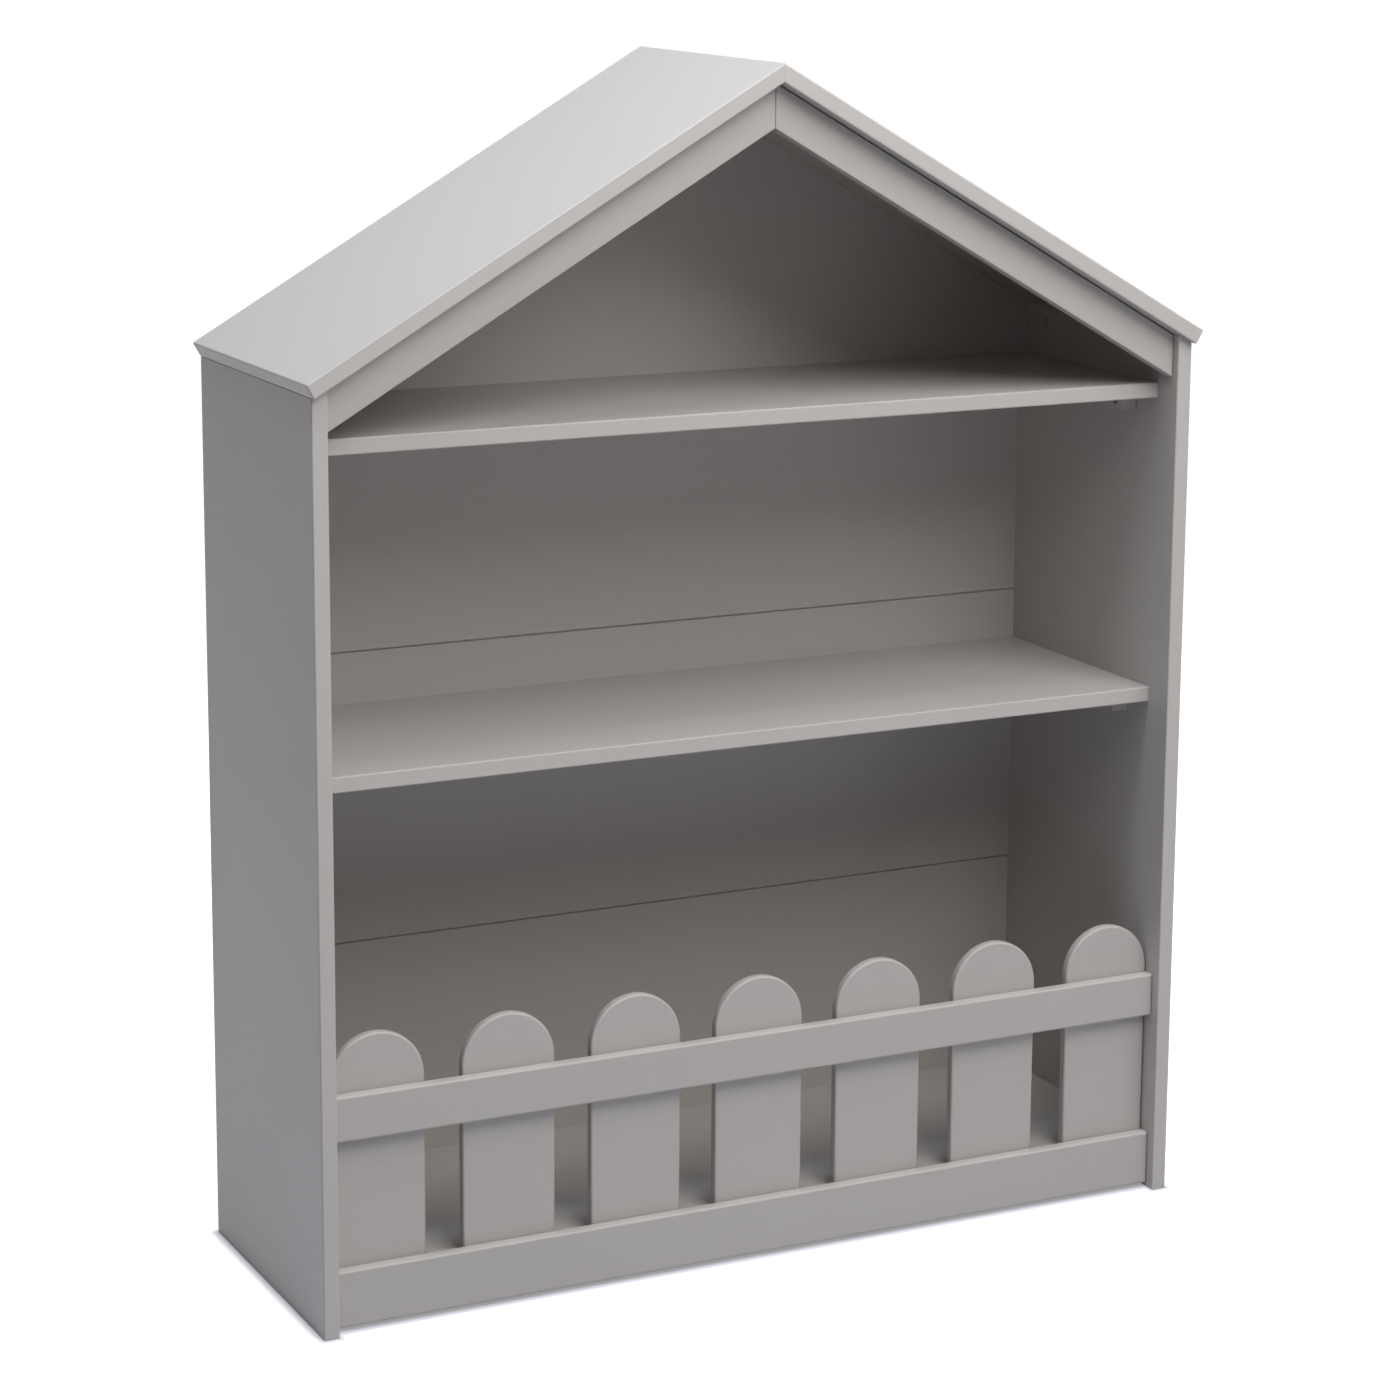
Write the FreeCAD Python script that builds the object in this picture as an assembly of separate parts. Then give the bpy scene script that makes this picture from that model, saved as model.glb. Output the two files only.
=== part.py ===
import FreeCAD, Part
import math
import os

# A house-shaped bookcase in painted board: two side panels, a pitched roof of two mitred
# panels, a gable front and back, three shelves on screwed blocks and a picket fence.
# Millimetres. X runs from left to right, Y from front to back and Z up from the floor.
# The origin lies on the floor, at the middle of the whole outline.

# Case
case_width = 890.0
case_depth = 290.0
side_height = 848.0
roof_pitch_degrees = 30.0
carcass_board = 15.0
carcass_easing = 1.5
fit_clearance = 0.3

# Roof
roof_front_overhang = 8.0
mitre_easing = 0.6

# Gable
fascia_board = 15.0
fascia_width = 35.0
fascia_setback = 9.0
fascia_roof_gap = 1.0
gable_board = 12.0

# Shelves
gable_wall_height = 41.0
middle_shelf_height = 507.0
bottom_shelf_lip = 7.0
shelf_setback = 33.0

# Picket fence
fence_setback = 11.0
rail_board = 12.0
rail_easing = 2.0
fence_rail_top = 220.5
fence_rail_width = 42.0
base_rail_floor_gap = 4.0
base_rail_width = 53.0
picket_count = 7
picket_board = 9.0
picket_gap = 36.5
picket_end_gap = 1.0
picket_top = 272.0
picket_floor_gap = 10.0
picket_easing = 2.0
picket_rim_flats = 4

# Folding back
back_sheet = 3.0
back_sheet_inset = 3.0
back_gable_overlap = 30.0
lower_fold_height = 271.0
upper_fold_height = 557.0
fold_gap = 0.6
fold_bevel = 1.2
fold_tape = 0.2
fold_tape_width = 30.0

# Support blocks
block_width = 18.0
block_length = 21.0
block_height = 16.0
block_setback = 37.0
fascia_block_shares = (0.3, 0.75)

# Ridge brackets
bracket_plate = 2.0
bracket_leg = 40.0
bracket_width = 30.0
bracket_shares = (0.25, 0.75)
bracket_screw_shares = (0.45, 0.8)

# Screws, drawn with eight flats as the dowels are
fastener_sides = 8
screw_shank = 3.5
screw_head = 7.0
screw_head_depth = 2.5
screw_point = 4.0
screw_tip = 0.8
screw_clearance = 0.1
block_screw_bite = 10.0
block_screw_sink = 5.0
roof_screw_bite = 10.0
roof_screw_setback = 50.0
bracket_screw_bite = 12.0
picket_screw_bite = 8.0
gable_screw_bite = 25.0
gable_screw_shares = (-0.7, 0.0, 0.7)

# Dowels
dowel_diameter = 6.0
dowel_length = 30.0
dowel_chamfer = 1.0
dowel_panel_depth = 10.0
dowel_clearance = 0.1
dowel_end_room = 0.5
rail_dowel_shares = (0.27, 0.73)
gable_dowel_shares = (0.3, 0.7)

# Cuts run past the face they open by this much, and edges are found to within this distance.
cut_overrun = 10.0
touch = 0.001

# Places that follow from the sizes
pitch = math.radians(roof_pitch_degrees)
half_case = case_width / 2
inner_half = half_case - carcass_board
roof_drop = carcass_board / math.cos(pitch)
roof_half = half_case + carcass_board * math.sin(pitch)
ridge_underside = side_height + half_case * math.tan(pitch)
ridge_height = ridge_underside + roof_drop
case_front = (roof_front_overhang - case_depth - back_sheet - fold_tape) / 2
case_back = case_front + case_depth
roof_front = case_front - roof_front_overhang
fascia_front = case_front + fascia_setback
fascia_back = fascia_front + fascia_board
gable_front = case_back - gable_board
gable_middle = case_back - gable_board / 2
rail_front = case_front + fence_setback
picket_front = rail_front + rail_board
picket_back = picket_front + picket_board
base_rail_top = base_rail_floor_gap + base_rail_width
top_shelf_height = side_height - gable_wall_height
bottom_shelf_height = base_rail_top - bottom_shelf_lip
picket_room = 2 * inner_half - 2 * picket_end_gap - (picket_count - 1) * picket_gap
picket_width = picket_room / picket_count

AXIS_X, AXIS_Y, AXIS_Z = range(3)
SIDES = (("left", -1), ("right", 1))

# Every piece by name, the fasteners by kind, and the holes that each piece is drilled with
pieces = {}
fasteners = {}
holes = {}


def at(x, y, z):
    return FreeCAD.Vector(x, y, z)


def roof_underside(x):
    return ridge_underside - abs(x) * math.tan(pitch)


def roof_normal(sign):
    return at(sign * math.sin(pitch), 0, math.cos(pitch))


def cut_to_outline(outline, front, thickness):
    """A board cut to an outline of (x, z) corners, running back from front."""
    return flat_face([at(x, front, z) for x, z in outline]).extrude(at(0, thickness, 0))


def sawn_board(low, high):
    """A plain rectangular board between two opposite corners."""
    size = high - low
    return Part.makeBox(size.x, size.y, size.z, low)


def mirrored(solid):
    return solid.mirror(at(0, 0, 0), at(1, 0, 0))


def lies_on(edge, axis, place):
    return all(abs(vertex.Point[axis] - place) < touch for vertex in edge.Vertexes)


def flat_face(corners):
    return Part.Face(Part.makePolygon(corners + corners[:1]))


def eight_sided(profile, start, direction):
    """A fastener or its hole, drawn with eight flats through (radius, distance) stations."""
    place = FreeCAD.Placement(start, FreeCAD.Rotation(at(0, 0, 1), direction))
    turns = [math.tau * side / fastener_sides for side in range(fastener_sides)]
    rings = [
        [place.multVec(at(radius * math.cos(turn), radius * math.sin(turn), distance)) for turn in turns]
        for radius, distance in profile
    ]
    faces = [flat_face(rings[0]), flat_face(rings[-1])]
    for near, far in zip(rings, rings[1:]):
        for side in range(fastener_sides):
            faces.append(flat_face([near[side - 1], near[side], far[side], far[side - 1]]))
    return Part.Solid(Part.Shell(faces))


def drill(hole, names):
    for name in names:
        holes.setdefault(name, []).append(hole)


def drive_screw(kind, entry, direction, depth, sink, *names):
    """A countersunk screw driven to a depth, its head sunk below the face, and its hole in each piece."""
    seat = entry + direction * sink
    length = depth - sink
    shank = screw_shank / 2
    head = screw_head / 2
    screw = [(head, 0), (shank, screw_head_depth), (shank, length - screw_point), (screw_tip / 2, length)]
    mouth = -sink - cut_overrun
    wide = head + screw_clearance
    narrow = shank + screw_clearance
    hole = [(wide, mouth), (wide, 0), (narrow, screw_head_depth), (narrow, length + screw_clearance)]
    fasteners.setdefault(kind, []).append(eight_sided(screw, seat, direction))
    drill(eight_sided(hole, seat, direction), names)


def set_dowel(kind, start, direction, *names):
    """A wooden dowel with chamfered ends, and its hole in each piece."""
    radius = dowel_diameter / 2
    tip = radius - dowel_chamfer
    dowel = [(tip, 0), (radius, dowel_chamfer), (radius, dowel_length - dowel_chamfer), (tip, dowel_length)]
    wide = radius + dowel_clearance
    hole = [(wide, -dowel_end_room), (wide, dowel_length + dowel_end_room)]
    fasteners.setdefault(kind, []).append(eight_sided(dowel, start, direction))
    drill(eight_sided(hole, start, direction), names)


def side_panels():
    """Two boards that stand on the floor, with their tops bevelled to carry the roof."""
    outline = [
        (inner_half, 0),
        (half_case, 0),
        (half_case, roof_underside(half_case)),
        (inner_half, roof_underside(inner_half)),
    ]
    panel = cut_to_outline(outline, case_front, case_depth)
    faces = (inner_half, half_case)
    front_edges = [
        edge for edge in panel.Edges
        if lies_on(edge, AXIS_Y, case_front) and any(lies_on(edge, AXIS_X, place) for place in faces)
    ]
    panel = panel.makeFillet(carcass_easing, front_edges)
    pieces["left_side_panel"] = mirrored(panel)
    pieces["right_side_panel"] = panel


def roof_panels():
    """Two boards mitred together at the ridge, cut square at the eaves and eased where they show."""
    eave_top = ridge_height - roof_half * math.tan(pitch)
    outline = [
        (mitre_easing * math.cos(pitch), ridge_height - mitre_easing * math.sin(pitch)),
        (roof_half, eave_top),
        (half_case, eave_top - carcass_board * math.cos(pitch)),
        (0, ridge_underside),
        (0, ridge_height - mitre_easing),
    ]
    panel = cut_to_outline(outline, roof_front, roof_front_overhang + case_depth)
    showing_edges = [
        edge for edge in panel.Edges
        if edge.BoundBox.XMax > inner_half and not lies_on(edge, AXIS_Y, case_back)
    ]
    panel = panel.makeFillet(carcass_easing, showing_edges)
    pieces["left_roof_panel"] = mirrored(panel)
    pieces["right_roof_panel"] = panel


def roof_screws():
    """Screws from the inner face of each side, square to the roof, through the middle of the bevel."""
    reach = carcass_board / 2 / (math.sin(pitch) * math.cos(pitch))
    entry_height = roof_underside(inner_half) - reach
    sink = screw_head / 2 / math.tan(pitch) + fit_clearance
    depth = reach * math.cos(pitch) + roof_screw_bite
    for side, sign in SIDES:
        for y in (case_front + roof_screw_setback, case_back - roof_screw_setback):
            entry = at(sign * inner_half, y, entry_height)
            held = (f"{side}_side_panel", f"{side}_roof_panel")
            drive_screw("roof_screws", entry, roof_normal(sign), depth, sink, *held)


def ridge_brackets():
    """Bent steel plates under the ridge that hold the two roof panels together."""
    run = at(bracket_leg * math.cos(pitch), 0, -bracket_leg * math.sin(pitch))
    inset = at(bracket_plate * math.sin(pitch), 0, bracket_plate * math.cos(pitch))
    tip_top = ridge_underside + run.z
    tip_bottom = tip_top - inset.z
    outline = [
        (0, ridge_underside),
        (run.x, tip_top),
        (run.x - inset.x, tip_bottom),
        (0, ridge_underside - bracket_plate / math.cos(pitch)),
        (inset.x - run.x, tip_bottom),
        (-run.x, tip_top),
    ]
    depth = bracket_plate + bracket_screw_bite
    for place, share in zip(("front", "rear"), bracket_shares):
        middle = fascia_back + share * (gable_front - fascia_back)
        name = f"{place}_ridge_bracket"
        pieces[name] = cut_to_outline(outline, middle - bracket_width / 2, bracket_width)
        for side, sign in SIDES:
            for screw_share in bracket_screw_shares:
                on_roof = at(sign * run.x * screw_share, middle, ridge_underside + run.z * screw_share)
                entry = on_roof - roof_normal(sign) * bracket_plate
                held = (name, f"{side}_roof_panel")
                drive_screw("ridge_bracket_screws", entry, roof_normal(sign), depth, 0, *held)


def gable_fascias():
    """Two sloping boards under the front of the roof, mitred at the centre line."""
    top_drop = fascia_roof_gap / math.cos(pitch)
    bottom_drop = top_drop + fascia_width / math.cos(pitch)
    middle = fit_clearance / 2
    end = inner_half - fit_clearance
    outline = [
        (middle, roof_underside(middle) - top_drop),
        (end, roof_underside(end) - top_drop),
        (end, roof_underside(end) - bottom_drop),
        (middle, roof_underside(middle) - bottom_drop),
    ]
    fascia = cut_to_outline(outline, fascia_front, fascia_board)
    front_edges = [edge for edge in fascia.Edges if lies_on(edge, AXIS_Y, fascia_front)]
    fascia = fascia.makeChamfer(mitre_easing, front_edges)
    pieces["left_gable_fascia"] = mirrored(fascia)
    pieces["right_gable_fascia"] = fascia


def gable_back_board():
    """A board that closes the back of the gable, standing on the top shelf under the roof."""
    end = inner_half - fit_clearance
    outline = [
        (-end, top_shelf_height),
        (end, top_shelf_height),
        (end, roof_underside(end)),
        (0, ridge_underside),
        (-end, roof_underside(end)),
    ]
    pieces["gable_back_board"] = cut_to_outline(outline, gable_front, gable_board)
    for side, sign in SIDES:
        for share in gable_dowel_shares:
            x = share * inner_half
            start = at(sign * x, gable_middle, roof_underside(x)) + roof_normal(sign) * dowel_panel_depth
            held = (f"{side}_roof_panel", "gable_back_board")
            set_dowel("gable_board_dowels", start, -roof_normal(sign), *held)
    depth = carcass_board + gable_screw_bite
    for share in gable_screw_shares:
        entry = at(share * inner_half, gable_middle, top_shelf_height - carcass_board)
        drive_screw("gable_board_screws", entry, at(0, 0, 1), depth, 0, "top_shelf", "gable_back_board")


def support_block(name, corner, wall, glued, wall_piece, screws):
    """A block in the corner of two boards, glued to the one and screwed to the other, its wall."""
    place = FreeCAD.Placement(corner, FreeCAD.Rotation(wall, glued.cross(wall), glued, "XZY"))
    low = at(-block_width, -block_length / 2, -block_height)
    block = sawn_board(low, at(0, block_length / 2, 0))
    block.Placement = place * block.Placement
    pieces[name] = block
    entry = place.multVec(at(-block_width, 0, -block_height / 2))
    depth = block_width + block_screw_bite
    drive_screw(screws, entry, wall, depth, block_screw_sink, name, wall_piece)


def shelf(name, height, front):
    """A shelf between the side panels, with its front edges eased and a block glued under each corner."""
    end = inner_half - fit_clearance
    board = sawn_board(at(-end, front, height - carcass_board), at(end, case_back, height))
    long_edges = [
        edge for edge in board.Edges
        if lies_on(edge, AXIS_Y, front) and not any(lies_on(edge, AXIS_X, x) for x in (-end, end))
    ]
    pieces[name] = board.makeFillet(carcass_easing, long_edges)
    block_inset = block_setback + block_length / 2
    for side, sign in SIDES:
        for place, y in (("front", front + block_inset), ("rear", case_back - block_inset)):
            corner = at(sign * inner_half, y, height - carcass_board)
            block = f"{name}_block_{place}_{side}"
            wall = f"{side}_side_panel"
            support_block(block, corner, at(sign, 0, 0), at(0, 0, 1), wall, "shelf_block_screws")


def fascia_blocks():
    """Blocks glued behind the fascia boards and screwed up into the roof."""
    for side, sign in SIDES:
        for place, share in zip(("upper", "lower"), fascia_block_shares):
            x = share * inner_half
            corner = at(sign * x, fascia_back, roof_underside(x))
            block = f"{side}_fascia_block_{place}"
            roof = f"{side}_roof_panel"
            support_block(block, corner, roof_normal(sign), at(0, -1, 0), roof, "fascia_block_screws")


def fence_board(name, bottom, top):
    """A rail between the side panels, with its edges eased, on two dowels at each end."""
    end = inner_half - fit_clearance
    rail = sawn_board(at(-end, rail_front, bottom), at(end, picket_front, top))
    eased = [
        edge for edge in rail.Edges
        if lies_on(edge, AXIS_Y, rail_front) or not any(lies_on(edge, AXIS_X, x) for x in (-end, end))
    ]
    pieces[name] = rail.makeFillet(rail_easing, eased)
    for side, sign in SIDES:
        for share in rail_dowel_shares:
            height = bottom + share * (top - bottom)
            start = at(sign * (inner_half + dowel_panel_depth), (rail_front + picket_front) / 2, height)
            set_dowel("rail_dowels", start, at(-sign, 0, 0), name, f"{side}_side_panel")


def picket(name, x, rails):
    """A round-topped board behind both rails, its front rim rounded off, screwed to them from the back."""
    half = picket_width / 2
    shoulder = picket_top - half
    flank = half - picket_easing
    rim = []
    for flat in range(picket_rim_flats + 1):
        turn = math.pi / 2 * flat / picket_rim_flats
        rim.append(at(flank + picket_easing * math.sin(turn), picket_easing * (1 - math.cos(turn)), 0))
    section = flat_face([at(0, 0, 0)] + rim + [at(half, picket_board, 0), at(0, picket_board, 0)])
    crown = section.revolve(at(0, 0, 0), at(0, -1, 0), 180)
    right_half = section.extrude(at(0, 0, picket_floor_gap - shoulder))
    board = crown.fuse([right_half, mirrored(right_half)]).removeSplitter().Solids[0]
    board.translate(at(x, picket_front, shoulder))
    pieces[name] = board
    depth = picket_board + picket_screw_bite
    for rail, height in rails:
        entry = at(x, picket_back, height)
        drive_screw("picket_screws", entry, at(0, -1, 0), depth, 0, name, rail)


def picket_fence():
    """A row of pickets screwed behind a fence rail and a base rail."""
    fence_rail_bottom = fence_rail_top - fence_rail_width
    fence_board("fence_rail", fence_rail_bottom, fence_rail_top)
    fence_board("base_rail", base_rail_floor_gap, base_rail_top)
    rails = (
        ("fence_rail", (fence_rail_bottom + fence_rail_top) / 2),
        ("base_rail", (base_rail_floor_gap + base_rail_top) / 2),
    )
    first = picket_end_gap + picket_width / 2 - inner_half
    for number in range(picket_count):
        picket(f"picket_{number + 1}", first + number * (picket_width + picket_gap), rails)


def folding_back():
    """A thin back in three sections, bevelled where they fold and taped across the folds behind."""
    half = half_case - back_sheet_inset
    sheet_back = case_back + back_sheet
    bottom = bottom_shelf_height - carcass_board
    top = top_shelf_height + back_gable_overlap
    spans = (
        ("lower_back_sheet", bottom, lower_fold_height - fold_gap / 2),
        ("middle_back_sheet", lower_fold_height + fold_gap / 2, upper_fold_height - fold_gap / 2),
        ("upper_back_sheet", upper_fold_height + fold_gap / 2, top),
    )
    for name, low, high in spans:
        sheet = sawn_board(at(-half, case_back, low), at(half, sheet_back, high))
        folded = [height for height in (low, high) if height not in (bottom, top)]
        fold_edges = [
            edge for edge in sheet.Edges
            if lies_on(edge, AXIS_Y, case_back) and any(lies_on(edge, AXIS_Z, height) for height in folded)
        ]
        pieces[name] = sheet.makeChamfer(fold_bevel, fold_edges)
    for fold in (lower_fold_height, upper_fold_height):
        low = at(-half, sheet_back, fold - fold_tape_width / 2)
        high = at(half, sheet_back + fold_tape, fold + fold_tape_width / 2)
        fasteners.setdefault("back_fold_tapes", []).append(sawn_board(low, high))


def write_parts():
    os.makedirs("parts", exist_ok=True)
    for name, piece in pieces.items():
        if name in holes:
            piece = piece.cut(holes[name]).Solids[0]
        piece.exportStep(f"parts/{name}.step")
    for kind, group in fasteners.items():
        Part.makeCompound(group).exportStep(f"parts/{kind}.step")


side_panels()
shelf("bottom_shelf", bottom_shelf_height, picket_back + fit_clearance)
shelf("middle_shelf", middle_shelf_height, case_front + shelf_setback)
shelf("top_shelf", top_shelf_height, case_front + shelf_setback)
picket_fence()
gable_back_board()
roof_panels()
roof_screws()
ridge_brackets()
gable_fascias()
fascia_blocks()
folding_back()
write_parts()
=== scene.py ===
import math

import bmesh
import bpy
import numpy as np
from mathutils import Matrix, Vector


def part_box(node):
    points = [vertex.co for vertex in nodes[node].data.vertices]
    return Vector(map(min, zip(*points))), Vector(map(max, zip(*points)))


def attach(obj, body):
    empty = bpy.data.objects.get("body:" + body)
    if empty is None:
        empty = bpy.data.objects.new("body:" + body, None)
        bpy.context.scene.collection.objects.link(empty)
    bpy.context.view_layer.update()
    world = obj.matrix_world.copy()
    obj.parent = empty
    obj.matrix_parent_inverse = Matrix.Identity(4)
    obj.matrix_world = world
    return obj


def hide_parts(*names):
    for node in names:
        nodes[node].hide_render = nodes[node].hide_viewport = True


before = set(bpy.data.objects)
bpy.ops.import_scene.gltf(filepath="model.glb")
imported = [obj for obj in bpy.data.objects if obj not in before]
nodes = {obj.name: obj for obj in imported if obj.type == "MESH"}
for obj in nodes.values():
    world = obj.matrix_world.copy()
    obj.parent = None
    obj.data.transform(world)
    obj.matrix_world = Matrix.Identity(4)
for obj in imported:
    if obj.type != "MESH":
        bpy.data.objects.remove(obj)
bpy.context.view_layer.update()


# Side panels
# Two fibreboard sides stand on the floor and carry the roof on their bevelled tops. They are sprayed in a
# warm light-grey satin paint. Their front edges are eased with a router, and are painted paler as a painted
# highlight.
class Channel:
    """A socket of a node tree. Arithmetic on it adds Math nodes, and node() adds any other node."""

    def __init__(self, tree, socket=None):
        self.tree = tree
        self.socket = socket

    def node(self, kind, settings=None, sockets=None, out=0):
        made = self.tree.nodes.new(kind)
        for name, value in (settings or {}).items():
            setattr(made, name, value)
        for key, value in (sockets or {}).items():
            for part in value if isinstance(value, list) else [value]:
                if isinstance(part, Channel):
                    self.tree.links.new(part.socket, made.inputs[key])
                else:
                    made.inputs[key].default_value = part
        return Channel(self.tree, made.outputs[out] if made.outputs else None)

    def math(self, operation, *values, clamp=False):
        settings = {"operation": operation, "use_clamp": clamp}
        return self.node("ShaderNodeMath", settings, dict(enumerate(values)))

    def __add__(self, other):
        return self.math("ADD", self, other)

    def __sub__(self, other):
        return self.math("SUBTRACT", self, other)

    def __rsub__(self, other):
        return self.math("SUBTRACT", other, self)

    def __mul__(self, other):
        return self.math("MULTIPLY", self, other)

    def __truediv__(self, other):
        return self.math("DIVIDE", self, other)

    def __rtruediv__(self, other):
        return self.math("DIVIDE", other, self)

    __radd__ = __add__
    __rmul__ = __mul__


def blank_material(name):
    """A new material with an empty node tree, and a channel to build it with."""
    material = bpy.data.materials.new(name)
    material.use_nodes = True
    material.node_tree.nodes.clear()
    return material, Channel(material.node_tree)


def object_place(graph):
    return graph.node("ShaderNodeTexCoord", out="Object")


def noise(graph, place, scale, detail=2.0, roughness=0.5):
    sockets = {"Vector": place, "Scale": scale, "Detail": detail, "Roughness": roughness}
    return graph.node("ShaderNodeTexNoise", None, sockets)


def scaled_colour(graph, colour, factor):
    return graph.node("ShaderNodeVectorMath", {"operation": "SCALE"}, {0: colour, "Scale": factor})


def mixed_colour(graph, share, first, second):
    sockets = {0: share, 6: first, 7: second}
    return graph.node("ShaderNodeMix", {"data_type": "RGBA"}, sockets, out=2)


def ramp(graph, value, start, end):
    """A value that goes from 0 at the start to 1 at the end, and stays there."""
    sockets = {"Value": value, "From Min": start, "From Max": end}
    return graph.node("ShaderNodeMapRange", None, sockets)


def raised(graph, height, strength, depth, normal=None):
    sockets = {"Strength": strength, "Distance": depth, "Height": height}
    if normal:
        sockets["Normal"] = normal
    return graph.node("ShaderNodeBump", None, sockets)


def eased_edges(graph, radius):
    """The normal rounded over at the edges, and a mask that is 1 on those edges."""
    flat = graph.node("ShaderNodeNewGeometry", out="Normal")
    rounded = graph.node("ShaderNodeBevel", {"samples": 4}, {"Radius": radius})
    sockets = {0: flat, 1: rounded}
    turned = graph.node("ShaderNodeVectorMath", {"operation": "DOT_PRODUCT"}, sockets, out="Value")
    return rounded, graph.math("MULTIPLY", 1.0 - turned, 4.0, clamp=True)


def surface_output(graph, sockets):
    surface = graph.node("ShaderNodeBsdfPrincipled", None, sockets)
    graph.node("ShaderNodeOutputMaterial", None, {"Surface": surface})


def satin_paint_layers(graph, paint_colour):
    """Colour, roughness and normal of sprayed satin paint: orange peel, faint mottling, and edges painted
    paler, partly thinner paint and partly a painted highlight.
    """
    place = object_place(graph)
    edge_radius = 0.0008
    rounded, edge = eased_edges(graph, edge_radius)
    peel = noise(graph, place, scale=420.0, detail=3.0)
    clouds = noise(graph, place, scale=5.0, detail=4.0, roughness=0.6)
    flecks = noise(graph, place, scale=70.0)
    body = scaled_colour(graph, paint_colour, 0.955 + clouds * 0.06 + flecks * 0.03)
    # Edges are painted paler: partly thinner paint at the edges, partly a painted highlight.
    thin_paint_and_highlight = (*[min(1.0, 1.12 * part) for part in paint_colour], 1.0)
    colour = mixed_colour(graph, edge * 0.35, body, thin_paint_and_highlight)
    rough = 0.34 + clouds * 0.10 + peel * 0.06
    return colour, rough, raised(graph, peel, strength=0.10, depth=0.0004, normal=rounded)


def satin_paint(name, paint_colour, highlight_side=None, highlight_gain=0.0):
    """Satin paint. Faces turned towards the highlight side are painted paler by the highlight gain: a
    painted highlight.
    """
    material, graph = blank_material(name)
    colour, rough, normal = satin_paint_layers(graph, paint_colour)
    if highlight_side:
        facing = graph.node("ShaderNodeNewGeometry", out="Normal")
        sockets = {0: facing, 1: highlight_side}
        turned = graph.node("ShaderNodeVectorMath", {"operation": "DOT_PRODUCT"}, sockets, out="Value")
        colour = scaled_colour(graph, colour, 1.0 + ramp(graph, turned, 0.5, 0.9) * highlight_gain)
    surface_output(graph, {"Base Color": colour, "Roughness": rough, "Normal": normal})
    return material


def finish_nodes(material, *names):
    for name in names:
        nodes[name].data.materials.clear()
        nodes[name].data.materials.append(material)


warm_grey = (0.470, 0.445, 0.424)
# Faces of the case turned to the front are painted paler: a painted highlight.
front_highlight_side = (0.0, -1.0, 0.0)
front_highlight_gain = 0.085
case_paint = satin_paint("satin_paint_with_painted_front_highlight", warm_grey, front_highlight_side, front_highlight_gain)
finish_nodes(case_paint, "left_side_panel", "right_side_panel")


# Shelves
# Three painted boards between the sides. The bottom one is the floor of the fenced bin, and the top one
# is the floor of the gable.
shelf_names = ("bottom_shelf", "middle_shelf", "top_shelf")
finish_nodes(case_paint, *shelf_names)


# Shelf blocks
# Twelve small painted hardwood blocks, glued under the shelf ends. Each has a counterbored hole in its
# inward face for the screw that holds the shelf to the side.
def shape_tree(name, sizes):
    """A Geometry Nodes tree with a named input for each size, and a channel for each of its inputs."""
    tree = bpy.data.node_groups.new(name, "GeometryNodeTree")
    for label, kind in {"Places": "Geometry", **sizes}.items():
        tree.interface.new_socket(label, in_out="INPUT", socket_type="NodeSocket" + kind)
    tree.interface.new_socket("Shape", in_out="OUTPUT", socket_type="NodeSocketGeometry")
    start = tree.nodes.new("NodeGroupInput")
    inputs = {label: Channel(tree, start.outputs[label]) for label in ("Places", *sizes)}
    return tree, Channel(tree), inputs


def close_tree(graph, copies, finish):
    """Ends a tree with real copies in their material."""
    real = graph.node("GeometryNodeRealizeInstances", None, {"Geometry": copies})
    dressed = graph.node("GeometryNodeSetMaterial", None, {"Geometry": real, "Material": finish})
    graph.node("NodeGroupOutput", None, {"Shape": dressed})


def vector(graph, x=0.0, y=0.0, z=0.0):
    return graph.node("ShaderNodeCombineXYZ", None, {"X": x, "Y": y, "Z": z})


def moved(graph, geometry, offset, turn=(0.0, 0.0, 0.0)):
    sockets = {"Geometry": geometry, "Translation": offset, "Rotation": turn}
    return graph.node("GeometryNodeTransform", None, sockets)


def joined(graph, *shapes):
    return graph.node("GeometryNodeJoinGeometry", None, {"Geometry": list(shapes)})


def copies_at(graph, places, shape):
    return graph.node("GeometryNodeInstanceOnPoints", None, {"Points": places, "Instance": shape})


def aimed_copies(graph, places, shape):
    """A copy of the shape at each place, with its z axis along the place's own aim."""
    named = {"data_type": "FLOAT_VECTOR"}
    aim = graph.node("GeometryNodeInputNamedAttribute", named, {"Name": "aim"})
    turn = graph.node("FunctionNodeAlignRotationToVector", {"axis": "Z"}, {"Vector": aim})
    sockets = {"Points": places, "Instance": shape, "Rotation": turn}
    return graph.node("GeometryNodeInstanceOnPoints", None, sockets)


def shaped_piece(name, tree, places, sizes, aims=None, edges=()):
    """Runs a tree on the given places and returns a new object with the plain mesh that comes of it."""
    start = bpy.data.meshes.new(name)
    start.from_pydata(places, edges, [])
    if aims:
        layer = start.attributes.new("aim", "FLOAT_VECTOR", "POINT")
        layer.data.foreach_set("vector", [part for aim in aims for part in aim])
    piece = bpy.data.objects.new(name, start)
    bpy.context.scene.collection.objects.link(piece)
    modifier = piece.modifiers.new("shape", "NODES")
    modifier.node_group = tree
    for item in tree.interface.items_tree:
        if item.in_out == "INPUT" and item.name in sizes:
            modifier[item.identifier] = sizes[item.name]
    made = piece.evaluated_get(bpy.context.evaluated_depsgraph_get())
    mesh = bpy.data.meshes.new_from_object(made)
    piece.modifiers.clear()
    mesh.materials.clear()
    mesh.materials.append(sizes["Finish"])
    for face in mesh.polygons:
        face.material_index = 0
    piece.data = mesh
    return piece


def close_seams(piece):
    """Merges doubles and turns the faces outwards."""
    shell = bmesh.new()
    shell.from_mesh(piece.data)
    bmesh.ops.remove_doubles(shell, verts=shell.verts, dist=1e-6)
    bmesh.ops.recalc_face_normals(shell, faces=shell.faces)
    shell.to_mesh(piece.data)
    shell.free()


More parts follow.
